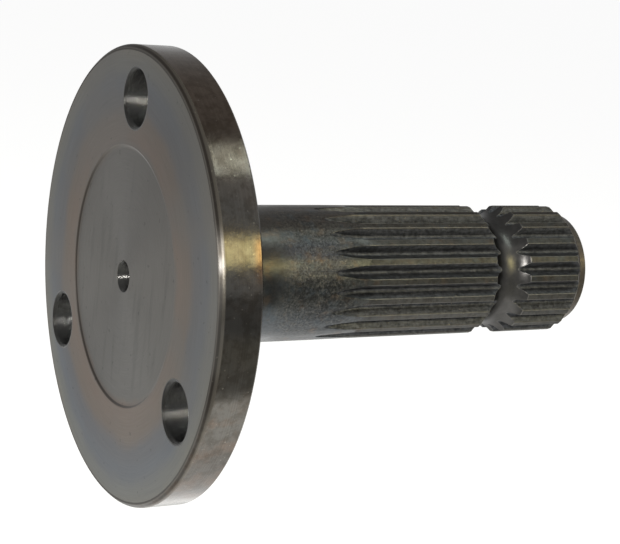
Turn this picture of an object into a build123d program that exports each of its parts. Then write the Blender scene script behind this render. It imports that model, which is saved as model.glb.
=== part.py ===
"""Flanged stub shaft of a tractor power take-off: one forging, turned, drilled and splined.

The shaft axis is X. The flange's mounting face lies at x = 0 and looks towards -X, the
splined end points along +X, and one bolt hole is straight above the axis, along +Z.
"""

from build123d import *
import math
import os

os.makedirs("parts", exist_ok=True)

# Shaft, in millimetres; the journal and the tops of the splines are turned to one size
overall_length = 130.2
shaft_diameter = 34.9

# Flange
flange_diameter = 112.2
flange_thickness = 10.5
flange_front_chamfer = 0.9
flange_rear_chamfer = 0.45
flange_root_fillet = 2.0

# Shallow relief turned into the mounting face
relief_diameter = 64.2
relief_depth = 0.55
relief_nose_radius = 1.6

# Bolt holes through the flange
bolt_hole_count = 3
bolt_circle_diameter = 87.3
bolt_hole_diameter = 13.5
bolt_hole_chamfer = 0.65

# Involute splines of 16/32 pitch and 30 degrees, cut with a disc-shaped cutter
spline_count = 21
spline_pitch_diameter = 33.34
spline_pressure_angle = 30.0
spline_root_diameter = 30.5
spline_foot_height = 0.3
spline_floor_width = 0.5
spline_full_depth_length = 68.5
spline_clocking = -1.2
cutter_diameter = 62.0

# Ring groove that the yoke's lock drops into
groove_from_end = 25.4
groove_radius = 6.8
groove_floor_diameter = 29.4

# Lead-in cone, and the short plain nose beyond it at the free end
lead_in_depth = 2.35
lead_in_angle = 45.0
nose_length = 1.85
nose_edge_break = 0.25

# Centre holes that the shaft was turned between
centre_mouth_diameter = 7.9
centre_cone_angle = 60.0
centre_pilot_diameter = 4.0
centre_pilot_depth = 8.0
drill_point_angle = 118.0

# How far a cutting shape runs past the metal
overcut = 1.0

shaft_radius = shaft_diameter / 2
flange_radius = flange_diameter / 2
root_radius = spline_root_diameter / 2
nose_radius = shaft_radius - lead_in_depth
nose_start = overall_length - nose_length
lead_in_start = nose_start - lead_in_depth / math.tan(math.radians(lead_in_angle))

# The mounting face looks away from the shaft, the plane at the spline run-outs along it
mounting_face = Plane(origin=(0, 0, 0), x_dir=(0, -1, 0), z_dir=(-1, 0, 0))
spline_start = Plane(
    origin=(overall_length - spline_full_depth_length, 0, 0), x_dir=(0, 1, 0), z_dir=(1, 0, 0)
)


# Space between two splines, in its own frame: y is the radius, z runs along the shaft
pitch_radius = spline_pitch_diameter / 2
base_radius = pitch_radius * math.cos(math.radians(spline_pressure_angle))
spline_pitch_angle = 360 / spline_count
cutter_rim_radius = cutter_diameter / 2
cutter_axis = Axis((0, root_radius + cutter_rim_radius, 0), (1, 0, 0))
run_out_rise = shaft_radius - root_radius + overcut
run_out_angle = math.degrees(math.acos(1 - run_out_rise / cutter_rim_radius))


def involute(radius):
    """Polar angle in radians that the involute has turned through, none inside its base circle."""
    roll = math.sqrt(max(radius / base_radius, 1) ** 2 - 1)
    return roll - math.atan(roll)


def flank_point(share):
    """Point on the right flank, from its foot at 0 to just outside the shaft at 1."""
    foot_radius = root_radius + spline_foot_height
    radius = foot_radius + share * (shaft_radius + overcut - foot_radius)
    half_space = math.pi / (2 * spline_count) + involute(radius) - involute(pitch_radius)
    return (radius * math.sin(half_space), radius * math.cos(half_space))


with BuildPart() as spline_space:
    with BuildSketch(Plane.XY) as space_profile:
        with BuildLine():
            flank = Spline(*[flank_point(share / 3) for share in range(4)])
            foot_x, foot_y = flank_point(0)
            floor_x = min(spline_floor_width / 2, foot_x)
            floor_y = math.sqrt(root_radius**2 - floor_x**2)
            foot = Line((floor_x, floor_y), (foot_x, foot_y))
            mirror([flank, foot], about=Plane.YZ)
            ThreePointArc((-floor_x, floor_y), (0, root_radius), (floor_x, floor_y))
            tip_x, tip_y = flank_point(1)
            Line((-tip_x, tip_y), (tip_x, tip_y))
        make_face()
    extrude(amount=spline_full_depth_length + overcut)
    # The cutter lifts out of the metal round its own rim
    revolve(space_profile.sketch, axis=cutter_axis, revolution_arc=run_out_angle)


with BuildPart() as flanged_shaft:
    # Turned outside: flange, root fillet, shaft, lead-in and nose
    with BuildSketch(Plane.XY):
        with BuildLine():
            Polyline(
                (0, 0),
                (0, flange_radius - flange_front_chamfer),
                (flange_front_chamfer, flange_radius),
                (flange_thickness - flange_rear_chamfer, flange_radius),
                (flange_thickness, flange_radius - flange_rear_chamfer),
                (flange_thickness, shaft_radius + flange_root_fillet),
            )
            RadiusArc(
                (flange_thickness, shaft_radius + flange_root_fillet),
                (flange_thickness + flange_root_fillet, shaft_radius),
                flange_root_fillet,
            )
            Polyline(
                (flange_thickness + flange_root_fillet, shaft_radius),
                (lead_in_start, shaft_radius),
                (nose_start, nose_radius),
                (overall_length - nose_edge_break, nose_radius),
                (overall_length, nose_radius - nose_edge_break),
                (overall_length, 0),
                (0, 0),
            )
        make_face()
    revolve(axis=Axis.X)

    # Shallow relief, with the tool's nose radius left at its edge
    relief_radius = relief_diameter / 2
    relief_edge = math.sqrt(relief_nose_radius**2 - (relief_nose_radius - relief_depth) ** 2)
    with BuildSketch(Plane.XY):
        with BuildLine():
            Polyline(
                (relief_depth, relief_radius - relief_edge),
                (relief_depth, 0),
                (0, 0),
                (0, relief_radius),
            )
            RadiusArc((0, relief_radius), (relief_depth, relief_radius - relief_edge), relief_nose_radius)
        make_face()
    revolve(axis=Axis.X, mode=Mode.SUBTRACT)

    # Bolt holes, drilled from the mounting face, their edges broken there
    with Locations(mounting_face):
        with PolarLocations(bolt_circle_diameter / 2, bolt_hole_count, start_angle=90):
            CounterSinkHole(
                radius=bolt_hole_diameter / 2,
                counter_sink_radius=bolt_hole_diameter / 2 + bolt_hole_chamfer,
                counter_sink_angle=90,
            )

    # Splines: a tooth stands above the top bolt hole, but for the clocking
    with Locations(spline_start):
        with PolarLocations(0, spline_count, start_angle=spline_clocking + spline_pitch_angle / 2):
            add(spline_space.part, mode=Mode.SUBTRACT)

    # Ring groove, cut across the splines and deeper than they are
    with BuildSketch(Plane.XY):
        with Locations((overall_length - groove_from_end, groove_floor_diameter / 2 + groove_radius)):
            Ellipse(groove_radius, groove_radius)
    revolve(axis=Axis.X, mode=Mode.SUBTRACT)

    # Centre hole in each end: a cone, a pilot and the drill's point
    centre_cone_depth = (centre_mouth_diameter - centre_pilot_diameter) / 2 / math.tan(
        math.radians(centre_cone_angle / 2)
    )
    drill_point = centre_pilot_diameter / 2 / math.tan(math.radians(drill_point_angle / 2))
    for face_x, inward in ((relief_depth, 1), (overall_length, -1)):
        with BuildSketch(Plane.XY):
            with BuildLine():
                Polyline(
                    (face_x, 0),
                    (face_x, centre_mouth_diameter / 2),
                    (face_x + inward * centre_cone_depth, centre_pilot_diameter / 2),
                    (face_x + inward * centre_pilot_depth, centre_pilot_diameter / 2),
                    (face_x + inward * (centre_pilot_depth + drill_point), 0),
                    close=True,
                )
            make_face()
        revolve(axis=Axis.X, mode=Mode.SUBTRACT)

flanged_shaft.part.label = "flanged_shaft"
export_step(flanged_shaft.part, "parts/flanged_shaft.step")
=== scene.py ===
"""Looks of the flanged power take-off shaft: turned, splined and blued steel in a white studio.

The steel is drawn in millimetres and goes to Blender in metres; the studio is in metres
throughout. The shaft axis is the frame's X. The steel's own mesh is drawn about its local Z, so the
lathe marks run round it, and its local X points down and its local Y across the shaft.
"""

import math

import bmesh
import bpy
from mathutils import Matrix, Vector


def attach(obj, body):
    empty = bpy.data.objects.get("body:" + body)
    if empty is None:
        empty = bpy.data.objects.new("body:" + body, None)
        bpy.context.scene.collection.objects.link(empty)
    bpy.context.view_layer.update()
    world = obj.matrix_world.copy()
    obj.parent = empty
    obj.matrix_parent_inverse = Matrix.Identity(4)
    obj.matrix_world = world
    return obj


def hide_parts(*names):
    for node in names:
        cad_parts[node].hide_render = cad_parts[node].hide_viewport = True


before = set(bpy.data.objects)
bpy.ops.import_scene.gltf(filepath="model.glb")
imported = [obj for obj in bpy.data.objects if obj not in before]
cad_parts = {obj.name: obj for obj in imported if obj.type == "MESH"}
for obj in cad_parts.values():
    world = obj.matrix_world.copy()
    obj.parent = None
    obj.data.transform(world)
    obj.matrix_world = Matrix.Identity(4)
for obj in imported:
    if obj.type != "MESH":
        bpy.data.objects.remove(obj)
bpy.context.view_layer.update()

MM = 0.001
TURN = 2 * math.pi

# Shaft
OVERALL_LENGTH = 130.2
SHAFT_RADIUS = 17.45

# Flange and the shallow relief in its mounting face
FLANGE_RADIUS = 56.1
FLANGE_THICKNESS = 10.5
FLANGE_FRONT_CHAMFER = 0.9
FLANGE_REAR_CHAMFER = 0.45
FLANGE_ROOT_FILLET = 2.0
RELIEF_RADIUS = 32.1
RELIEF_DEPTH = 0.55
RELIEF_NOSE_RADIUS = 1.6

# Bolt holes
BOLT_HOLE_ANGLES = [math.radians(degrees) for degrees in (90, 210, 330)]
BOLT_CIRCLE_RADIUS = 43.65
BOLT_HOLE_RADIUS = 6.75
BOLT_HOLE_CHAMFER = 0.65
BOLT_HOLE_REAR_BREAK = 0.15

# Splines
SPLINE_COUNT = 21
PITCH_RADIUS = 16.67
PRESSURE_ANGLE = math.radians(30)
BASE_RADIUS = PITCH_RADIUS * math.cos(PRESSURE_ANGLE)
ROOT_RADIUS = 15.25
FOOT_HEIGHT = 0.3
FLOOR_HALF_WIDTH = 0.25
FULL_DEPTH_LENGTH = 68.5
FULL_DEPTH_START = OVERALL_LENGTH - FULL_DEPTH_LENGTH
CUTTER_RADIUS = 31.0
SPLINE_CLOCKING = math.radians(-1.2)
LAND_EDGE_EASE = 0.16
ROOT_EASE = 0.12
SHORTEST_RUN_OUT = 1.0

# Lock groove, lead-in and nose
GROOVE_FROM_END = 25.4
GROOVE_CENTRE = OVERALL_LENGTH - GROOVE_FROM_END
GROOVE_RADIUS = 6.8
GROOVE_FLOOR_RADIUS = 14.7
LEAD_IN_DEPTH = 2.35
NOSE_RADIUS = SHAFT_RADIUS - LEAD_IN_DEPTH
NOSE_LENGTH = 1.85
NOSE_START = OVERALL_LENGTH - NOSE_LENGTH
LEAD_IN_START = NOSE_START - LEAD_IN_DEPTH

# Centre holes
CENTRE_MOUTH_RADIUS = 3.95
CENTRE_PILOT_RADIUS = 2.0
CENTRE_PILOT_DEPTH = 8.0
CONE_SLOPE = math.tan(math.radians(60 / 2))
DRILL_POINT_SLOPE = math.tan(math.radians(118 / 2))
CENTRE_CONE_DEPTH = (CENTRE_MOUTH_RADIUS - CENTRE_PILOT_RADIUS) / CONE_SLOPE
DRILL_POINT_DEPTH = CENTRE_PILOT_RADIUS / DRILL_POINT_SLOPE

# How far each kind of edge is eased, and the most of a line that one ease may take up
TURNED_EDGE_EASE = 0.14
WORN_EDGE_EASE = 0.5
FINE_EDGE_EASE = 0.08
FACE_EDGE_EASE = 0.2
HOLE_EDGE_EASE = 0.3
NOSE_EDGE_EASE = 0.25
LONGEST_EASE = 0.45

# Flat metal drawn beyond a turned edge and round a bolt hole
EDGE_MARGIN = 0.5
HOLE_MARGIN = 0.3

# How far from their corners the finishes of the bores, the nose and the splines begin
BORE_MARGIN = 0.1
NOSE_MARGIN = 0.3
RUN_OUT_REACH = 14

# Studio, in metres
FLOOR_HEIGHT = -0.3
FLOOR_SIZE = 30
MIDDLE_OF_SHAFT = (0.04, 0, 0)
FLOOR_GREY = (0.55, 0.55, 0.55, 1)
FLOOR_GLOW = (0.49, 0.49, 0.49, 1)
WALL_WHITE = (0.85, 0.85, 0.85, 1)
BLACK = (0, 0, 0, 1)

# How finely the round forms are divided
FLANGE_COLUMNS = 288
HOLE_COLUMNS = 96
RUN_OUT_ROWS = 9
GROOVE_ROWS = 22
EASE_STEPS = 4
ARC_STEPS = 6
JOURNAL_SHARES = (0, 0.5)
FLANK_SHARES = (0.22, 0.45, 0.67, 0.86)
LAND_SHARES = (0.5, 1)

# Two places nearer than this are one
POINT_SIZE = 1e-9

# Turn of the brushed sheen that lays it round the axis, as a share of a whole turn
ROUND_THE_AXIS = 0.25


def lerp(a, b, share):
    """Point at a share of the way from a to b."""
    return tuple(p + (q - p) * share for p, q in zip(a, b))


def eased(corners):
    """A path through (u, v, reach) corners, each rounded over its reach.

    Gives (u, v, edge), where edge is 1 in the middle of an outward corner and 0 elsewhere. An
    inward corner has its reach below zero.
    """
    path = []
    for i, (u, v, reach) in enumerate(corners):
        here = (u, v)
        if reach == 0 or i in (0, len(corners) - 1):
            path.append((*here, 0))
            continue
        before, after = corners[i - 1][:2], corners[i + 1][:2]
        into = min(abs(reach) / math.dist(here, before), LONGEST_EASE)
        out = min(abs(reach) / math.dist(here, after), LONGEST_EASE)
        start, end = lerp(here, before, into), lerp(here, after, out)
        for step in range(EASE_STEPS + 1):
            share = step / EASE_STEPS
            edge = 1 if reach > 0 and 0 < step < EASE_STEPS else 0
            path.append((*lerp(lerp(start, here, share), lerp(here, end, share), share), edge))
    return path


def involute(radius):
    """Polar angle that the involute has turned through at a radius."""
    roll = math.sqrt(max(radius / BASE_RADIUS, 1) ** 2 - 1)
    return roll - math.atan(roll)


def flank_point(radius):
    """Point on a spline's flank, with the middle of the space along the second axis."""
    half_space = math.pi / (2 * SPLINE_COUNT) + involute(radius) - involute(PITCH_RADIUS)
    return (radius * math.sin(half_space), radius * math.cos(half_space))


def half_space_outline():
    """From the middle of a space's floor, up its flank, to the middle of the next land."""
    floor_y = math.sqrt(ROOT_RADIUS**2 - FLOOR_HALF_WIDTH**2)
    foot_radius = ROOT_RADIUS + FOOT_HEIGHT
    corners = [(0, ROOT_RADIUS, 0), (FLOOR_HALF_WIDTH, floor_y, -ROOT_EASE)]
    corners.append((*flank_point(foot_radius), -ROOT_EASE))
    for share in FLANK_SHARES:
        corners.append((*flank_point(foot_radius + share * (SHAFT_RADIUS - foot_radius)), 0))
    corners.append((*flank_point(SHAFT_RADIUS), LAND_EDGE_EASE))
    land_start = math.atan2(*flank_point(SHAFT_RADIUS))
    land_middle = math.pi / SPLINE_COUNT
    for share in LAND_SHARES:
        angle = land_start + share * (land_middle - land_start)
        corners.append((SHAFT_RADIUS * math.sin(angle), SHAFT_RADIUS * math.cos(angle), 0))
    return eased(corners)


def groove_half_width(radius):
    """Half the groove's opening along the shaft, at a radius."""
    return math.sqrt(GROOVE_RADIUS**2 - (GROOVE_FLOOR_RADIUS + GROOVE_RADIUS - radius) ** 2)


def groove_corners(reach):
    """Section of the lock groove, where its reach is half its opening along the shaft."""
    corners = []
    for row in range(GROOVE_ROWS + 1):
        sweep = math.asin(reach / GROOVE_RADIUS) * (2 * row / GROOVE_ROWS - 1)
        x = GROOVE_CENTRE + GROOVE_RADIUS * math.sin(sweep)
        radius = GROOVE_FLOOR_RADIUS + GROOVE_RADIUS * (1 - math.cos(sweep))
        at_edge = row in (0, GROOVE_ROWS)
        corners.append((x, radius, TURNED_EDGE_EASE if at_edge else 0))
    return corners


def splined_column(across, up, edge):
    """One line of the spline section, from the fillet to the nose, as (x, radius, angle, edge)."""
    depth_radius = math.hypot(across, up)
    cutter_axis = ROOT_RADIUS + CUTTER_RADIUS
    to_cutter = cutter_axis - up
    up_at_surface = math.sqrt(SHAFT_RADIUS**2 - across**2)
    run_out = math.sqrt(max(to_cutter**2 - (cutter_axis - up_at_surface) ** 2, 0))
    run_out = max(run_out, SHORTEST_RUN_OUT)
    surface_angle = math.atan2(across, up_at_surface)

    column = []
    for x, radius, _ in eased(root_fillet_corners())[:-1]:
        column.append((x, radius, surface_angle, 0))
    plain_end = FULL_DEPTH_START - run_out
    plain_start = FLANGE_THICKNESS + FLANGE_ROOT_FILLET
    for share in JOURNAL_SHARES:
        x = plain_start + share * (plain_end - plain_start)
        column.append((x, SHAFT_RADIUS, surface_angle, 0))
    for row in range(RUN_OUT_ROWS + 1):
        back = run_out * (1 - row / RUN_OUT_ROWS)
        height = cutter_axis - math.sqrt(to_cutter**2 - back**2)
        radius = min(math.hypot(across, height), SHAFT_RADIUS)
        column.append((FULL_DEPTH_START - back, radius, math.atan2(across, height), edge))

    angle = math.atan2(across, up)
    reach = groove_half_width(depth_radius)
    corners = [(FULL_DEPTH_START, depth_radius, 0)]
    corners.append(((FULL_DEPTH_START + GROOVE_CENTRE) / 2, depth_radius, 0))
    corners += groove_corners(reach)
    cone_x = LEAD_IN_START + SHAFT_RADIUS - depth_radius
    corners.append((cone_x, depth_radius, TURNED_EDGE_EASE))
    corners += nose_corners()
    for x, radius, turned_edge in eased(corners)[1:]:
        ridge = edge if x < cone_x and abs(x - GROOVE_CENTRE) > reach else 0
        column.append((x, radius, angle, max(turned_edge, ridge)))
    return column


def root_fillet_corners():
    """Section of the fillet between the flange's back and the shaft."""
    centre_x = FLANGE_THICKNESS + FLANGE_ROOT_FILLET
    centre_radius = SHAFT_RADIUS + FLANGE_ROOT_FILLET
    corners = []
    for step in range(ARC_STEPS + 1):
        angle = math.radians(180 + 90 * step / ARC_STEPS)
        x = centre_x + FLANGE_ROOT_FILLET * math.cos(angle)
        corners.append((x, centre_radius + FLANGE_ROOT_FILLET * math.sin(angle), 0))
    return corners


def nose_corners():
    """Section of the nose, the end face and the rear centre hole, as far as the drill's point."""
    end = OVERALL_LENGTH
    return [
        (NOSE_START, NOSE_RADIUS, TURNED_EDGE_EASE),
        (end, NOSE_RADIUS, NOSE_EDGE_EASE),
        (end, CENTRE_MOUTH_RADIUS, FINE_EDGE_EASE),
        (end - CENTRE_CONE_DEPTH, CENTRE_PILOT_RADIUS, FINE_EDGE_EASE),
        (end - CENTRE_PILOT_DEPTH, CENTRE_PILOT_RADIUS, 0),
        (end - CENTRE_PILOT_DEPTH - DRILL_POINT_DEPTH, 0, 0),
    ]


def relief_path():
    """Section from the front centre hole's drill point, over the relief, to its edge."""
    floor = RELIEF_DEPTH
    corners = [
        (floor + CENTRE_PILOT_DEPTH + DRILL_POINT_DEPTH, 0, 0),
        (floor + CENTRE_PILOT_DEPTH, CENTRE_PILOT_RADIUS, 0),
        (floor + CENTRE_CONE_DEPTH, CENTRE_PILOT_RADIUS, FINE_EDGE_EASE),
        (floor, CENTRE_MOUTH_RADIUS, FINE_EDGE_EASE),
    ]
    nose_centre = RELIEF_NOSE_RADIUS - RELIEF_DEPTH
    edge = math.sqrt(RELIEF_NOSE_RADIUS**2 - nose_centre**2)
    steepest = math.atan2(edge, nose_centre)
    for step in range(ARC_STEPS + 1):
        sweep = steepest * step / ARC_STEPS
        radius = RELIEF_RADIUS - edge + RELIEF_NOSE_RADIUS * math.sin(sweep)
        x = RELIEF_NOSE_RADIUS * math.cos(sweep) - nose_centre
        corners.append((x, radius, FINE_EDGE_EASE if step == ARC_STEPS else 0))
    corners.append((0, RELIEF_RADIUS + EDGE_MARGIN, 0))
    return eased(corners)


def rim_path():
    """Section of the flange's rim, from just inside its front edge to just inside its rear edge."""
    face_radius = FLANGE_RADIUS - FLANGE_FRONT_CHAMFER
    back_radius = FLANGE_RADIUS - FLANGE_REAR_CHAMFER
    return eased([
        (0, face_radius - EDGE_MARGIN, 0),
        (0, face_radius, FACE_EDGE_EASE),
        (FLANGE_FRONT_CHAMFER, FLANGE_RADIUS, WORN_EDGE_EASE),
        (FLANGE_THICKNESS - FLANGE_REAR_CHAMFER, FLANGE_RADIUS, FINE_EDGE_EASE),
        (FLANGE_THICKNESS, back_radius, FINE_EDGE_EASE),
        (FLANGE_THICKNESS, back_radius - EDGE_MARGIN, 0),
    ])


def bolt_hole_path():
    """Section of a bolt hole about its own axis, from the mounting face to the flange's back."""
    mouth = BOLT_HOLE_RADIUS + BOLT_HOLE_CHAMFER
    rear = BOLT_HOLE_RADIUS + BOLT_HOLE_REAR_BREAK
    return eased([
        (0, mouth + HOLE_MARGIN, 0),
        (0, mouth, FINE_EDGE_EASE),
        (BOLT_HOLE_CHAMFER, BOLT_HOLE_RADIUS, HOLE_EDGE_EASE),
        (FLANGE_THICKNESS - BOLT_HOLE_REAR_BREAK, BOLT_HOLE_RADIUS, 0),
        (FLANGE_THICKNESS, rear, 0),
        (FLANGE_THICKNESS, rear + HOLE_MARGIN, 0),
    ])


def splined_rows():
    """The shaft from the fillet to the nose, one row of (x, radius, angle, edge) to each ring."""
    half = half_space_outline()
    outline = [(-across, up, edge) for across, up, edge in reversed(half[1:-1])] + half
    columns = []
    for space in range(SPLINE_COUNT):
        middle = TURN / 4 + SPLINE_CLOCKING + TURN * (space + 0.5) / SPLINE_COUNT
        for line in outline:
            column = splined_column(*line)
            columns.append([(x, radius, middle + angle, edge) for x, radius, angle, edge in column])
    return list(zip(*columns))


def on_shaft(x, radius, angle):
    """A place in the steel's own mesh, whose local Z is the shaft axis."""
    return Vector((-radius * math.sin(angle), radius * math.cos(angle), x)) * MM


class SteelMesh:
    """The shaft's skin while it is built, with one material number to each strip."""

    def __init__(self):
        self.bm = bmesh.new()
        self.edge = self.bm.verts.layers.float.new("edge")

    def ring(self, points, edges):
        """A closed ring of vertices, or the one vertex where it has shrunk to a point."""
        if (points[0] - points[-1]).length < POINT_SIZE:
            points = points[:1]
        ring = [self.bm.verts.new(point) for point in points]
        for vertex, edge in zip(ring, edges):
            vertex[self.edge] = edge
        return ring

    def strip(self, inner, outer, material):
        """Faces between two rings."""
        count = max(len(inner), len(outer))
        for i in range(count):
            j = (i + 1) % count
            if len(inner) == 1:
                corners = (inner[0], outer[i], outer[j])
            elif len(outer) == 1:
                corners = (inner[i], outer[0], inner[j])
            else:
                corners = (inner[i], outer[i], outer[j], inner[j])
            face = self.bm.faces.new(corners)
            face.material_index = material
            face.smooth = True

    def skin(self, rings, material_of):
        """Strips over a row of rings; material_of gives the number for each strip."""
        for i in range(len(rings) - 1):
            self.strip(rings[i], rings[i + 1], material_of(i))

    def plate(self, rings, facing, material):
        """A flat face between an outer ring and the rings inside it."""
        edges = []
        for ring in rings:
            for i in range(len(ring)):
                edges.append(self.bm.edges.get((ring[i], ring[(i + 1) % len(ring)])))
        made = bmesh.ops.triangle_fill(self.bm, edges=edges, use_beauty=True, normal=facing)
        for item in made["geom"]:
            if isinstance(item, bmesh.types.BMFace):
                item.material_index = material
                item.smooth = True

    def turned(self, path, columns, centre=Vector((0, 0, 0))):
        """Rings of a path turned about an axis through centre, in line with the shaft."""
        angles = [TURN * i / columns for i in range(columns)]
        rings = []
        for x, radius, edge in path:
            points = [centre + on_shaft(x, radius, angle) for angle in angles]
            rings.append(self.ring(points, [edge] * columns))
        return rings


# Material numbers, in the order in which the finishes go on the piece
FACE, RIM, BORE, SHAFT, SPLINES, GROOVE, NOSE = range(7)


def steel_piece():
    """The whole forging as one closed mesh."""
    steel = SteelMesh()

    relief = relief_path()
    relief_rings = steel.turned(relief, FLANGE_COLUMNS)
    bore_edge = CENTRE_MOUTH_RADIUS - BORE_MARGIN
    steel.skin(relief_rings, lambda i: BORE if relief[i][1] < bore_edge else FACE)
    rim_rings = steel.turned(rim_path(), FLANGE_COLUMNS)
    steel.skin(rim_rings, lambda i: RIM)

    fronts, backs = [], []
    for around in BOLT_HOLE_ANGLES:
        centre = on_shaft(0, BOLT_CIRCLE_RADIUS, around)
        rings = steel.turned(bolt_hole_path(), HOLE_COLUMNS, centre)
        steel.skin(rings, lambda i: BORE)
        fronts.append(rings[0])
        backs.append(rings[-1])

    rows = splined_rows()
    shaft_rings = []
    for row in rows:
        points = [on_shaft(x, radius, angle) for x, radius, angle, _ in row]
        shaft_rings.append(steel.ring(points, [edge for *_, edge in row]))

    deepest = min(range(len(rows)), key=lambda i: abs(rows[i][0][0] - GROOVE_CENTRE))
    groove_rows = (deepest - GROOVE_ROWS // 2 - 1, deepest + GROOVE_ROWS // 2 + 1)

    def shaft_material(i):
        """Number of the finish that a strip of the shaft gets."""
        x = sum(place[0] for place in rows[i]) / len(rows[i])
        radius = rows[i][0][1]
        if radius < CENTRE_MOUTH_RADIUS:
            return BORE
        if x > LEAD_IN_START - NOSE_MARGIN:
            return NOSE
        if groove_rows[0] <= i < groove_rows[1]:
            return GROOVE
        return SPLINES if x > FULL_DEPTH_START - RUN_OUT_REACH else SHAFT

    steel.skin(shaft_rings, shaft_material)

    steel.plate([rim_rings[0], relief_rings[-1], *fronts], (0, 0, -1), FACE)
    steel.plate([rim_rings[-1], shaft_rings[0], *backs], (0, 0, 1), RIM)
    bmesh.ops.recalc_face_normals(steel.bm, faces=steel.bm.faces)

    mesh = bpy.data.meshes.new("flanged_shaft_surface")
    steel.bm.to_mesh(mesh)
    steel.bm.free()
    piece = bpy.data.objects.new("flanged_shaft_surface", mesh)
    bpy.context.scene.collection.objects.link(piece)
    piece.rotation_euler = (0, math.radians(90), 0)
    weighted = piece.modifiers.new("even shading", "WEIGHTED_NORMAL")
    weighted.mode = "FACE_AREA_WITH_ANGLE"
    weighted.weight = 90
    return piece


def srgb(red, green, blue):
    """A colour written as 0 to 255 display values, as the shader wants it."""
    def linear(value):
        share = value / 255
        return share / 12.92 if share <= 0.04045 else ((share + 0.055) / 1.055) ** 2.4
    return (linear(red), linear(green), linear(blue), 1)


class Wire:
    """A shader value that can be used in Python expressions."""

    def __init__(self, finish, socket):
        self.finish = finish
        self.socket = socket

    def maths(self, operation, *others):
        """A Math node on this value and the others."""
        return self.finish.node("ShaderNodeMath", {"operation": operation}, [self, *others])

    def __add__(self, other):
        return self.maths("ADD", other)

    __radd__ = __add__

    def __sub__(self, other):
        return self.maths("SUBTRACT", other)

    def __rsub__(self, other):
        return self.finish.node("ShaderNodeMath", {"operation": "SUBTRACT"}, [other, self])

    def __mul__(self, other):
        return self.maths("MULTIPLY", other)

    __rmul__ = __mul__

    def __truediv__(self, other):
        return self.maths("DIVIDE", other)

    def __pow__(self, other):
        return self.maths("POWER", other)

    def most(self, other):
        """The greater of two values."""
        return self.maths("MAXIMUM", other)


class Finish:
    """One finish: its material, its shader, and the ways to add nodes that vary it."""

    def __init__(self, name):
        self.material = bpy.data.materials.new(name)
        self.material.use_nodes = True
        self.tree = self.material.node_tree
        self.shader = self.tree.nodes["Principled BSDF"]

    def set(self, **values):
        """Sets or links the shader's sockets by name, with _ for a space."""
        for name, value in values.items():
            self.feed(self.shader.inputs[name.replace("_", " ")], value)

    def node(self, kind, settings=None, inputs=(), output=0):
        """Adds a node: settings first, then its inputs by place or by name; returns an output."""
        made = self.tree.nodes.new(kind)
        for name, value in (settings or {}).items():
            setattr(made, name, value)
        pairs = inputs.items() if isinstance(inputs, dict) else enumerate(inputs)
        for place, value in pairs:
            self.feed(made.inputs[place], value)
        return Wire(self, made.outputs[output])

    def feed(self, socket, value):
        """Links a wire to a socket, or sets the socket's own value."""
        if isinstance(value, Wire):
            self.tree.links.new(value.socket, socket)
        elif value is not None:
            socket.default_value = value

    def split(self, vector):
        """The three numbers of a vector."""
        made = self.tree.nodes.new("ShaderNodeSeparateXYZ")
        self.feed(made.inputs[0], vector)
        return [Wire(self, output) for output in made.outputs]

    def places(self):
        """Place on the steel in millimetres, then how far along it, off its axis and round it."""
        place = self.node("ShaderNodeTexCoord", output="Object")
        place = self.node(
            "ShaderNodeVectorMath", {"operation": "SCALE"}, {"Vector": place, "Scale": 1 / MM}
        )
        x, y, z = self.split(place)
        radius = (x * x + y * y) ** 0.5
        angle = self.node("ShaderNodeMath", {"operation": "ARCTAN2"}, [-1 * x, y])
        return place, z, radius, angle

    def noise(self, place, scale, detail=3.0, roughness=0.55, **more):
        """Noise from 0 to 1, with scale as its lumps to the millimetre."""
        return self.node(
            "ShaderNodeTexNoise",
            more,
            {"Vector": place, "Scale": scale, "Detail": detail, "Roughness": roughness},
        )

    def vector(self, x, y, z):
        """Three numbers as one vector."""
        return self.node("ShaderNodeCombineXYZ", {}, [x, y, z])

    def step(self, value, low, high):
        """0 below low, 1 above high, smooth between."""
        return self.node(
            "ShaderNodeMapRange",
            {"interpolation_type": "SMOOTHSTEP"},
            {"Value": value, "From Min": low, "From Max": high},
        )

    def band(self, value, low, high, soft):
        """1 between low and high, 0 outside, soft at both ends."""
        rise = self.step(value, low - soft, low + soft)
        return rise * (1 - self.step(value, high - soft, high + soft))

    def mix(self, share, a, b, blend="MIX"):
        """Colour a turning to colour b."""
        made = self.tree.nodes.new("ShaderNodeMix")
        made.data_type = "RGBA"
        made.blend_type = blend
        for socket, value in zip((made.inputs[0], made.inputs[6], made.inputs[7]), (share, a, b)):
            self.feed(socket, value)
        return Wire(self, made.outputs[2])

    def ramp(self, value, stops):
        """Colours by value, from (place, colour) stops with places from 0 to 1."""
        made = self.tree.nodes.new("ShaderNodeValToRGB")
        made.color_ramp.interpolation = "EASE"
        elements = made.color_ramp.elements
        while len(elements) < len(stops):
            elements.new(1)
        for element, (place, colour) in zip(elements, stops):
            element.position = place
            element.color = colour
        self.feed(made.inputs[0], value)
        return Wire(self, made.outputs[0])

    def bump(self, height, distance, strength=1.0, normal=None):
        """A normal from a height of 0 to 1, over a distance in millimetres."""
        return self.node(
            "ShaderNodeBump",
            {},
            {"Strength": strength, "Distance": distance * MM, "Height": height, "Normal": normal},
        )

    def edge(self):
        """1 along the eased edges of the mesh, 0 elsewhere."""
        return self.node("ShaderNodeAttribute", {"attribute_name": "edge"}, output="Fac")


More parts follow.
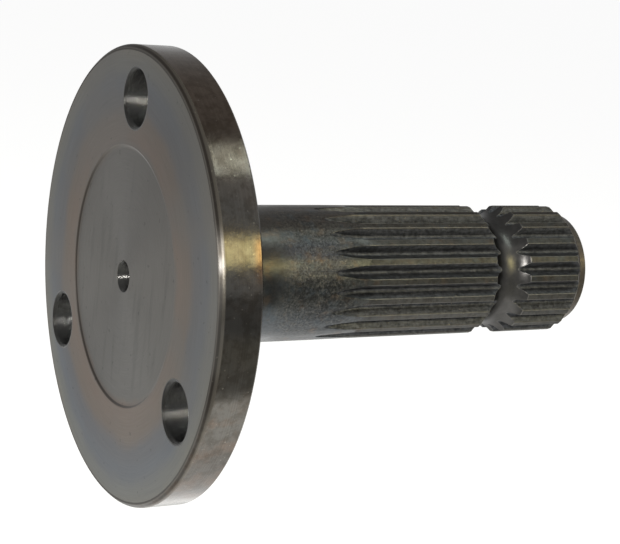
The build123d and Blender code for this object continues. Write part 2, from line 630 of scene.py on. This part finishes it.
def heat_rings(steel, place, radius, down, across):
    """Rings of colour that heat left on the face, fainter in patches and towards one side."""
    wander = steel.noise(place, 0.045, 3) - 0.5
    ringed = (radius + 7 * wander) / FLANGE_RADIUS
    floor_grey = srgb(104, 103, 100)
    tint = steel.ramp(ringed, [
        (0.0, floor_grey),
        (0.54, floor_grey),
        (0.60, srgb(121, 107, 96)),
        (0.69, srgb(116, 105, 95)),
        (0.77, srgb(99, 102, 107)),
        (0.85, srgb(101, 107, 114)),
        (0.93, srgb(116, 118, 115)),
        (1.0, srgb(123, 121, 112)),
    ])
    untinted = 0.15 + 0.42 * steel.step(steel.noise(place, 0.03, 2), 0.42, 0.60)
    untinted = untinted + 0.22 * steel.step(across, -12, -35)
    untinted = untinted * (1 - 0.75 * steel.step(down, 10, 36))
    return steel.mix(untinted, tint, srgb(109, 108, 105))


def relief_wall(steel, tint, radius, down, across):
    """The face's colour, with painted shade on one side of the relief's edge and painted highlight
    on the other.
    """
    wall = steel.band(radius, RELIEF_RADIUS - 0.6, RELIEF_RADIUS - 0.1, 0.12)
    turned_away = (0.8 * across + 0.6 * down) / RELIEF_RADIUS
    painted_shade_side = steel.step(turned_away, -0.4, 0.5)
    painted_highlight_side = steel.step(turned_away, -0.3, -0.9)
    # Painted shade on one side of the relief's edge, painted highlight on the other.
    tint = steel.mix(0.8 * wall * painted_shade_side, tint, srgb(46, 43, 40))
    return steel.mix(0.4 * wall * painted_highlight_side, tint, srgb(160, 160, 158))


def turned_face():
    """Mounting face: faced on a lathe, heat-tinted in rings."""
    steel = Finish("turned_face")
    place, _, radius, angle = steel.places()
    down, across, _ = steel.split(place)
    marks = steel.noise(steel.vector(radius * 5, angle * 3, 0), 1, 4)
    clouds = steel.noise(place, 0.12, 4)
    tint = heat_rings(steel, place, radius, down, across)
    tint = steel.mix(0.35 * marks, tint, srgb(150, 148, 144), "MULTIPLY")
    tint = steel.mix(0.25 * clouds, tint, srgb(110, 108, 106))
    # Painted shade: the face darkened towards its top.
    painted_shade_above = 1 - steel.step(down, -60, 55)
    tint = steel.mix(painted_shade_above, tint, srgb(212, 209, 207), "MULTIPLY")
    in_relief = 1 - steel.step(radius, 26, 31)
    long_noise = steel.noise(steel.vector(down * 0.04, across * 0.3, 3), 1, 3)
    streaks = steel.step(long_noise, 0.52, 0.68)
    tint = steel.mix(0.32 * streaks * in_relief, tint, srgb(70, 70, 68))
    pits = steel.step(steel.noise(place, 0.55, 2), 0.68, 0.72)
    tint = steel.mix(0.5 * pits, tint, srgb(60, 59, 57))
    # Painted shade and a painted highlight on the two sides of the relief's edge.
    tint = relief_wall(steel, tint, radius, down, across)
    grain = steel.noise(place, 1.5, 3, 0.7)
    tint = steel.mix(0.35 * grain, tint, srgb(222, 222, 222), "MULTIPLY")
    steel.set(
        Base_Color=tint,
        Metallic=1.0,
        Roughness=0.46 + 0.10 * marks,
        Anisotropic=0.45,
        Anisotropic_Rotation=ROUND_THE_AXIS,
        Normal=steel.bump(marks, 0.02, 0.4),
    )
    return steel.material


def blued_band(steel, place, along, radius, down, patina):
    """The rim band's colour: dark, browner above and below, with painted light paler from its
    middle down.
    """
    clouds = steel.noise(place, 0.10, 4)
    outside = steel.step(radius, FLANGE_RADIUS - 1.6, FLANGE_RADIUS - 0.8)
    top = outside * (1 - steel.step(down, -52, -25))
    bottom = outside * steel.step(down, 10, 20)
    tone = steel.mix(clouds, srgb(50, 49, 46), srgb(59, 58, 56))
    brown = 0.75 * top + patina * (0.1 + 0.3 * bottom)
    tone = steel.mix(brown, tone, srgb(78, 68, 59))
    # Painted light: the rim paler from its middle down, and a little less pale at its lowest.
    tone = steel.mix(0.9 * outside * steel.step(down, 10, 15), tone, srgb(78, 77, 74))
    tone = steel.mix(0.8 * outside * steel.step(down, 22, 29), tone, srgb(69, 67, 64))
    tone = steel.mix(0.35 * patina * bottom, tone, srgb(92, 76, 64))
    heated = outside * steel.step(along, 7.5, 10.0) * steel.band(down, -22, -13, 2)
    tone = steel.mix(0.6 * heated, tone, srgb(74, 56, 40))
    mottle = steel.step(steel.noise(place, 0.40, 4, 0.65), 0.42, 0.62)
    return steel.mix(0.6 * mottle, tone, srgb(200, 195, 188), "MULTIPLY")


def chamfer_painted_light(steel, tone, along, down, chamfer, painted_sheen):
    """The rim's colour with its front chamfer: painted shade above and below, painted sheen and
    glint between.
    """
    lower = steel.step(down, 10, 28)
    painted_glint_bed = steel.band(down, -20.5, -13, 2)
    painted_glint = steel.band(down, -17.6, -15.2, 1.5)
    outer_half = steel.step(along, 0.45, 0.8)
    below_top = steel.band(down, -20.5, -4, 2)
    lip = 1 - steel.step(along, 0.05, 0.3)
    # Painted shade on the chamfer, heaviest above.
    tone = steel.mix(chamfer * (0.85 - 0.7 * lower), tone, srgb(44, 41, 38))
    # Painted sheen: the chamfer lighter where the lamps' reflections fall on it.
    tone = steel.mix(chamfer * painted_sheen, tone, srgb(62, 60, 57))
    # Painted glint: lighter still where the small lamp's glint falls, brightest in the middle of
    # that band.
    tone = steel.mix(chamfer * painted_glint_bed, tone, srgb(60, 57, 52))
    tone = steel.mix(chamfer * painted_glint, tone, srgb(110, 108, 105))
    # Painted shade on the chamfer's outer half, which narrows the painted glint.
    tone = steel.mix(0.9 * chamfer * outer_half * below_top, tone, srgb(37, 35, 32))
    return steel.mix(0.6 * lip, tone, srgb(90, 88, 85))


def turned_rim():
    """Rim, chamfers and back of the flange: dark blued steel with fine lathe marks."""
    steel = Finish("turned_rim")
    place, along, radius, angle = steel.places()
    down = steel.split(place)[0]
    marks = steel.noise(steel.vector(along * 7, angle * 4, radius), 1, 3)
    lines = steel.noise(steel.vector(along * 3.2, angle * 0.7, 0), 1, 2)
    patina = steel.step(steel.noise(place, 0.16, 4, 0.6), 0.42, 0.66)
    tone = blued_band(steel, place, along, radius, down, patina)
    tone = steel.mix(0.6 * lines, tone, srgb(155, 148, 146), "MULTIPLY")
    chamfer = 1 - steel.step(along, 1.1, 1.5)
    # Where the chamfer gets its painted sheen.
    painted_sheen = steel.band(down, -23, 7, 3)
    # Painted shade, sheen and glint on the front chamfer.
    tone = chamfer_painted_light(steel, tone, along, down, chamfer, painted_sheen)
    specks = steel.step(steel.noise(place, 1.3, 2), 0.69, 0.75)
    tone = steel.mix(0.3 * specks, tone, srgb(118, 114, 106))
    tone = steel.mix(steel.edge() * 0.2, tone, srgb(120, 116, 108))
    # Painted shade: the chamfer darkened nearly to black above its painted sheen and just below it,
    # and made less metallic there.
    painted_chamfer_shade = 0.45 * chamfer * (1 - painted_sheen) * (1 - steel.step(down, 12, 26))
    waves = steel.bump(steel.noise(place, 0.4, 3), 0.03)
    steel.set(
        Base_Color=steel.mix(painted_chamfer_shade, tone, srgb(8, 8, 7)),
        Metallic=1 - painted_chamfer_shade,
        Roughness=0.13 + 0.09 * marks + 0.04 * lines + 0.05 * patina + 0.20 * chamfer,
        Specular_IOR_Level=0.0,
        Anisotropic=0.8,
        Anisotropic_Rotation=ROUND_THE_AXIS,
        Specular_Tint=(0.68, 0.68, 0.68, 1),
        Normal=steel.bump(marks + lines, 0.02, 0.4, waves),
    )
    return steel.material


def drilled_bore():
    """Walls of the bolt holes and centre holes, with the drill's rings and patches of painted
    shade.
    """
    steel = Finish("drilled_bore")
    place, along, radius, _ = steel.places()
    across = steel.split(place)[1]
    marks = steel.noise(place, 0.9, 3)
    rings = steel.noise(steel.vector(along, 0.02 * radius, 0), 9, 2)
    tone = steel.mix(marks, srgb(48, 48, 47), srgb(76, 76, 74))
    mouth = 1 - steel.step(along, BOLT_HOLE_CHAMFER - 0.15, BOLT_HOLE_CHAMFER + 0.05)
    # Painted shade: the holes' mouths at the mounting face darkened.
    tone = steel.mix(0.7 * mouth, tone, srgb(44, 43, 41))
    in_centre = 1 - steel.step(radius, 4.2, 6)
    # Painted shade: the centre holes darkened.
    tone = steel.mix(0.4 * in_centre, tone, srgb(36, 35, 34))
    # Painted shade: one bolt hole darkened, which dims the lamp's reflection in it.
    tone = steel.mix(0.3 * steel.step(across, -24, -30), tone, srgb(44, 44, 43))
    uneven = steel.bump(marks, 0.03, 0.4)
    steel.set(
        Base_Color=tone,
        Metallic=1.0,
        Roughness=0.15 + 0.1 * marks,
        Normal=steel.bump(rings * (1 - 0.8 * in_centre), 0.28, 1.0, uneven),
    )
    return steel.material


def journal_tone(steel, clouds, down, along):
    """Colour of the journal and lands under the scale: browner above, bluer below."""
    tone = steel.mix(steel.step(clouds, 0.3, 0.7), srgb(40, 41, 41), srgb(55, 56, 55))
    tone = steel.mix(0.6 * (1 - steel.step(down, -15, -10)), tone, srgb(61, 56, 51))
    tone = steel.mix(0.6 * steel.step(down, 3, 9), tone, srgb(55, 58, 61))
    greyed = steel.band(down, -11, -3, 2) * steel.band(along, 37, 54, 4)
    return steel.mix(0.7 * greyed, tone, srgb(50, 51, 56))


def scaled_skin(steel, place, along):
    """Colour, roughness and height of the journal and lands: scale about the run-outs, painted
    shade on one side.
    """
    down, across, _ = steel.split(place)
    clouds = steel.noise(place, 0.16, 4)
    grain = steel.noise(place, 1.25, 4, 0.6)
    scale = steel.band(along + 20 * (clouds - 0.5), 37, 60, 5)
    tone = journal_tone(steel, clouds, down, along)

    thin = steel.step(steel.noise(place, 0.09, 2), 0.40, 0.60) * scale
    tone = steel.mix(0.22 * thin * steel.step(grain, 0.48, 0.68), tone, srgb(94, 88, 78))
    crusted = steel.step(steel.noise(place, 1.7, 5, 0.7), 0.42, 0.60)
    tone = steel.mix((0.35 + 0.45 * scale) * crusted, tone, srgb(165, 165, 165), "MULTIPLY")
    flecks = steel.step(steel.noise(place, 2.1, 3, 0.6), 0.60, 0.68)
    tone = steel.mix(0.4 * flecks * scale, tone, srgb(92, 91, 88))
    browned = steel.step(steel.noise(place, 0.30, 3), 0.52, 0.72)
    tone = steel.mix(0.45 * browned, tone, srgb(66, 55, 45))
    other_noise = steel.noise(place, 0.27, 3, 0.5, noise_dimensions="4D")
    blued = steel.step(other_noise, 0.52, 0.72)
    tone = steel.mix(0.40 * blued, tone, srgb(48, 55, 60))

    one_side = 1 - steel.step(across, -12, -4)
    # Painted shade on one side next to the flange, just above the middle.
    painted_flange_shade_high = one_side * steel.band(down, -12, -3, 2) * (1 - steel.step(along, 32, 40))
    tone = steel.mix(0.65 * painted_flange_shade_high, tone, srgb(27, 24, 21))
    # Painted shade on one side next to the flange, across the middle.
    painted_flange_shade_low = one_side * steel.band(down, -4, 4, 2) * (1 - steel.step(along, 32.5, 35.5))
    middle = steel.band(down + 8 * (clouds - 0.5), -4, 6, 3)
    # Heavy scale along the middle of one side: rougher, and darkened there as painted shade.
    heavy_scale_and_shade = one_side * middle * steel.band(along, 39, 54, 4)
    dark = (0.18 * scale + 0.36 * heavy_scale_and_shade) * steel.step(grain, 0.58, 0.42) + 0.4 * painted_flange_shade_low
    tone = steel.mix(dark, tone, srgb(20, 20, 20))

    roughness = 0.24 + 0.12 * grain + 0.12 * scale
    height = grain * (0.6 + 0.4 * scale + 0.4 * heavy_scale_and_shade) + 3 * clouds
    return tone, roughness, height


def scaled_journal():
    """Plain journal: dark, with heat-treatment scale towards the splines."""
    steel = Finish("scaled_journal")
    place, along, _, _ = steel.places()
    tone, roughness, height = scaled_skin(steel, place, along)
    steel.set(
        Base_Color=tone,
        Metallic=1.0,
        Roughness=roughness,
        Specular_Tint=(0.75, 0.75, 0.75, 1),
        Normal=steel.bump(height, 0.05, 0.8),
    )
    return steel.material


def cut_splines():
    """Spline lands, flanks and floors, the lands worn towards the free end."""
    steel = Finish("cut_splines")
    place, along, radius, _ = steel.places()
    down, across, _ = steel.split(place)
    drawn = steel.noise(steel.vector(down * 1.5, across * 1.5, along * 0.35), 1, 4, 0.65)
    grain = steel.step(0.5 * drawn + 0.5 * steel.noise(place, 1.1, 3), 0.32, 0.68)
    worn = steel.step(along, 56, 68)
    land, land_roughness, height = scaled_skin(steel, place, along)
    land = steel.mix(0.9 * worn * grain, land, srgb(47, 45, 42))
    land = steel.mix(0.45 * worn * steel.step(down, -2, 4), land, srgb(66, 65, 62))
    valley = steel.mix(grain, srgb(39, 40, 42), srgb(69, 70, 72))
    depth = (SHAFT_RADIUS - radius) / (SHAFT_RADIUS - ROOT_RADIUS)
    cut = steel.step(depth, 0.02, 0.22)
    tone = steel.mix(cut, land, valley)
    blots = steel.step(steel.noise(place, 0.8, 5, 0.7), 0.46, 0.60)
    tone = steel.mix(0.5 * blots, tone, srgb(165, 163, 160), "MULTIPLY")
    specks = steel.step(steel.noise(place, 1.5, 2), 0.70, 0.75)
    tone = steel.mix(0.3 * specks, tone, srgb(140, 128, 104))
    tone = steel.mix(steel.edge() * 0.22, tone, srgb(116, 115, 112))
    steel.set(
        Base_Color=tone,
        Metallic=1.0,
        Roughness=land_roughness + 0.20 * worn + 0.12 * cut,
        Specular_Tint=(0.55, 0.55, 0.55, 1),
        Normal=steel.bump(height + 0.6 * worn * grain, 0.04, 0.6),
    )
    return steel.material


def turned_groove():
    """Lock groove: turned smooth, dark, its edges rubbed."""
    steel = Finish("turned_groove")
    place = steel.places()[0]
    grain = steel.noise(place, 0.5, 4)
    tone = steel.mix(grain, srgb(38, 38, 37), srgb(60, 59, 58))
    steel.set(
        Base_Color=steel.mix(steel.edge() * 0.4, tone, srgb(110, 106, 100)),
        Metallic=1.0,
        Roughness=0.26 + 0.12 * grain,
        Specular_Tint=(0.52, 0.52, 0.52, 1),
        Normal=steel.bump(grain, 0.10, 0.6),
    )
    return steel.material


def turned_nose():
    """Lead-in cone, nose and end face: turned, a little browned."""
    steel = Finish("turned_nose")
    place = steel.places()[0]
    grain = steel.noise(place, 0.9, 4)
    tone = steel.mix(grain, srgb(42, 40, 37), srgb(68, 62, 54))
    steel.set(
        Base_Color=steel.mix(steel.edge() * 0.2, tone, srgb(100, 94, 86)),
        Metallic=1.0,
        Roughness=0.30 + 0.15 * grain,
        Normal=steel.bump(grain, 0.03, 0.4),
    )
    return steel.material


def white_floor():
    """A plain floor below the part, white to the camera and in the steel's reflections."""
    finish = Finish("white_floor")
    ray = finish.tree.nodes.new("ShaderNodeLightPath")
    seen = Wire(finish, ray.outputs["Is Camera Ray"])
    for kind in ("Is Glossy Ray", "Is Transmission Ray"):
        seen = seen.most(Wire(finish, ray.outputs[kind]))
    finish.set(Base_Color=FLOOR_GREY, Roughness=1.0, Specular_IOR_Level=0.0)
    finish.set(Emission_Color=finish.mix(seen, BLACK, FLOOR_GLOW), Emission_Strength=1.0)
    bpy.ops.mesh.primitive_plane_add(size=FLOOR_SIZE, location=(0, 0, FLOOR_HEIGHT))
    floor = bpy.context.object
    floor.name = "floor"
    floor.data.materials.append(finish.material)


def white_room():
    """An even white surround."""
    world = bpy.data.worlds.new("white_room")
    world.use_nodes = True
    world.node_tree.nodes["Background"].inputs["Color"].default_value = WALL_WHITE
    bpy.context.scene.world = world


def soft_lamp(name, direction, distance, width, height, radiance, colour, aim=MIDDLE_OF_SHAFT):
    """A rectangular lamp that the camera doesn't see, a distance from the place that it faces."""
    lamp = bpy.data.lights.new(name, "AREA")
    lamp.shape = "RECTANGLE"
    lamp.size = width
    lamp.size_y = height
    lamp.color = colour
    lamp.energy = radiance * width * height * math.pi
    holder = bpy.data.objects.new(name, lamp)
    bpy.context.scene.collection.objects.link(holder)
    away = Vector(direction).normalized()
    holder.location = Vector(aim) + away * distance
    holder.rotation_euler = away.to_track_quat("Z", "Y").to_euler()
    holder.visible_camera = False


def lamps():
    """Soft lamps above and below, and a small one beside the camera."""
    soft_lamp(
        "front_lamp", direction=(0.44, -0.72, 0.54), distance=1.3,
        width=1.4, height=1.35, radiance=1.2, colour=(0.98, 0.99, 1.0),
    )
    soft_lamp(
        "high_lamp", direction=(0.44, -0.265, 0.857), distance=1.2,
        width=0.5, height=0.11, radiance=18.0, colour=(0.87, 1.0, 0.93),
    )
    soft_lamp(
        "warm_lamp", direction=(0.44, -0.81, 0.395), distance=1.2,
        width=0.5, height=0.235, radiance=18.5, colour=(1.0, 0.87, 0.40),
    )
    soft_lamp(
        "under_lamp", direction=(0, 0, -1), distance=0.29,
        width=0.40, height=0.56, radiance=1.95, colour=(1.0, 0.99, 0.98), aim=(0.15, -0.02, 0),
    )
    soft_lamp(
        "camera_lamp", direction=(-0.50, -0.80, 0.31), distance=0.45,
        width=0.06, height=0.04, radiance=420.0, colour=(1.0, 0.97, 0.94),
    )


def camera_at_the_photo():
    """The camera that sees the part from the photograph's place."""
    data = bpy.data.cameras.new("camera")
    data.sensor_width = 36
    data.lens = 92.81
    data.clip_start = 0.01
    camera = bpy.data.objects.new("camera", data)
    bpy.context.scene.collection.objects.link(camera)
    camera.location = (-0.14604, -0.35019, 0.09584)
    camera.rotation_euler = [math.radians(degrees) for degrees in (76.542, -6.123, -28.073)]
    bpy.context.scene.camera = camera


shaft = steel_piece()
for finish_of in (
    turned_face, turned_rim, drilled_bore, scaled_journal, cut_splines, turned_groove, turned_nose,
):
    shaft.data.materials.append(finish_of())
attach(shaft, "root")
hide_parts("flanged_shaft")

white_floor()
white_room()
lamps()
camera_at_the_photo()
bpy.context.scene.view_settings.view_transform = "Standard"
